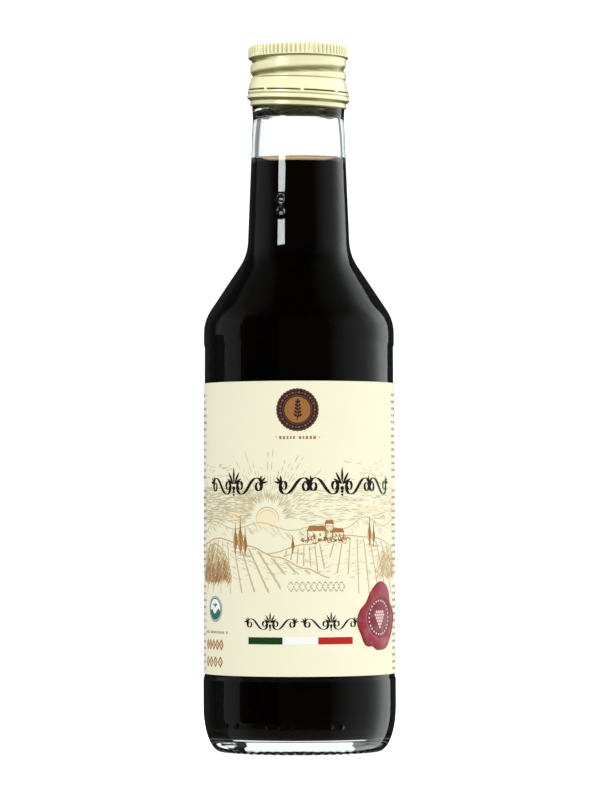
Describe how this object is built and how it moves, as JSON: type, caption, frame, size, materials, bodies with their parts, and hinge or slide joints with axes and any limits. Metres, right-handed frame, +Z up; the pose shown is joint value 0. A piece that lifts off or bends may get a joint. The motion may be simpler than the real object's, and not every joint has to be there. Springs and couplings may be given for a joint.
{
  "type": "vinegar bottle",
  "caption": "Full clear glass bottle of dark vinegar with a wrap paper label and a pale gold roll-on aluminium cap, for a table or a kitchen shelf.",
  "frame": {"origin": "centre of the base, on the surface that the bottle stands on", "axes": "+Z up along the bottle, -Y towards the front of the label"},
  "size_m": [0.056, 0.056, 0.2045],
  "materials": {
    "clear_glass": "clear, polished",
    "dark_vinegar": "liquid, near black, amber where thin",
    "cap_lacquer": "pale gold lacquer, satin",
    "label_paper": "uncoated cream paper, printed"
  },
  "bodies": {
    "root": {"bottle": "clear_glass", "vinegar": "dark_vinegar", "cap": "cap_lacquer", "label": "label_paper"}
  },
  "joints": []
}
